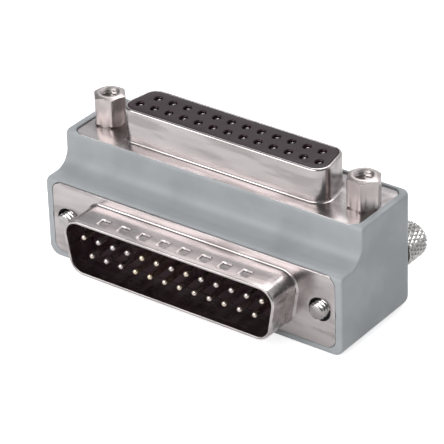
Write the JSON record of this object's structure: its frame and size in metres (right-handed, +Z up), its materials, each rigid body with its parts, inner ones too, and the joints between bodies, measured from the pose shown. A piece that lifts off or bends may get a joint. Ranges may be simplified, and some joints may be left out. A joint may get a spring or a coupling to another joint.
{
  "type": "d-sub adapter",
  "caption": "Right-angle D connector adapter: a moulded grey housing with a pin plug on the front, a socket on the top, hex standoffs and two thumbscrews through it.",
  "frame": {"origin": "centre of the housing's flat base", "axes": "+X along the contact rows, -Y out of the plug on the front, +Z up out of the socket on the top"},
  "size_m": [0.0552, 0.031, 0.0248],
  "materials": {
    "housing": "fine moulded texture, cool grey",
    "shells": "tin-nickel plated drawn sheet",
    "insulators": "satin black moulding",
    "standoffs": "nickel plated, turned",
    "thumbscrews": "nickel plated, knurled head",
    "rings": "spring steel",
    "pins": "thinly gold plated",
    "sockets": "thinly gold plated"
  },
  "bodies": {
    "adapter": {"housing": "housing", "plug_shell": "shells", "socket_shell": "shells", "plug_insulator": "insulators", "socket_insulator": "insulators", "standoffs": "standoffs", "pin_01": "pins", "pin_02": "pins", "pin_03": "pins", "pin_04": "pins", "pin_05": "pins", "pin_06": "pins", "pin_07": "pins", "pin_08": "pins", "pin_09": "pins", "pin_10": "pins", "pin_11": "pins", "pin_12": "pins", "pin_13": "pins", "pin_14": "pins", "pin_15": "pins", "pin_16": "pins", "pin_17": "pins", "pin_18": "pins", "pin_19": "pins", "pin_20": "pins", "pin_21": "pins", "pin_22": "pins", "pin_23": "pins", "pin_24": "pins", "pin_25": "pins", "socket_01": "sockets", "socket_02": "sockets", "socket_03": "sockets", "socket_04": "sockets", "socket_05": "sockets", "socket_06": "sockets", "socket_07": "sockets", "socket_08": "sockets", "socket_09": "sockets", "socket_10": "sockets", "socket_11": "sockets", "socket_12": "sockets", "socket_13": "sockets", "socket_14": "sockets", "socket_15": "sockets", "socket_16": "sockets", "socket_17": "sockets", "socket_18": "sockets", "socket_19": "sockets", "socket_20": "sockets", "socket_21": "sockets", "socket_22": "sockets", "socket_23": "sockets", "socket_24": "sockets", "socket_25": "sockets"},
    "ring_left": {"retaining_ring_left": "rings"},
    "ring_right": {"retaining_ring_right": "rings"},
    "screw_left": {"thumbscrew_left": "thumbscrews"},
    "screw_right": {"thumbscrew_right": "thumbscrews"}
  },
  "joints": [
    {"name": "left_screw_slide", "type": "slide", "parent": "adapter", "child": "ring_left", "axis": [0, -1, 0], "range_m": [0, 0.0032]},
    {"name": "left_screw_turn", "type": "hinge", "parent": "ring_left", "child": "screw_left", "pos_m": [-0.02352, 0, 0.00715], "axis": [0, -1, 0], "continuous": true},
    {"name": "right_screw_slide", "type": "slide", "parent": "adapter", "child": "ring_right", "axis": [0, -1, 0], "range_m": [0, 0.0032]},
    {"name": "right_screw_turn", "type": "hinge", "parent": "ring_right", "child": "screw_right", "pos_m": [0.02352, 0, 0.00715], "axis": [0, -1, 0], "continuous": true}
  ]
}
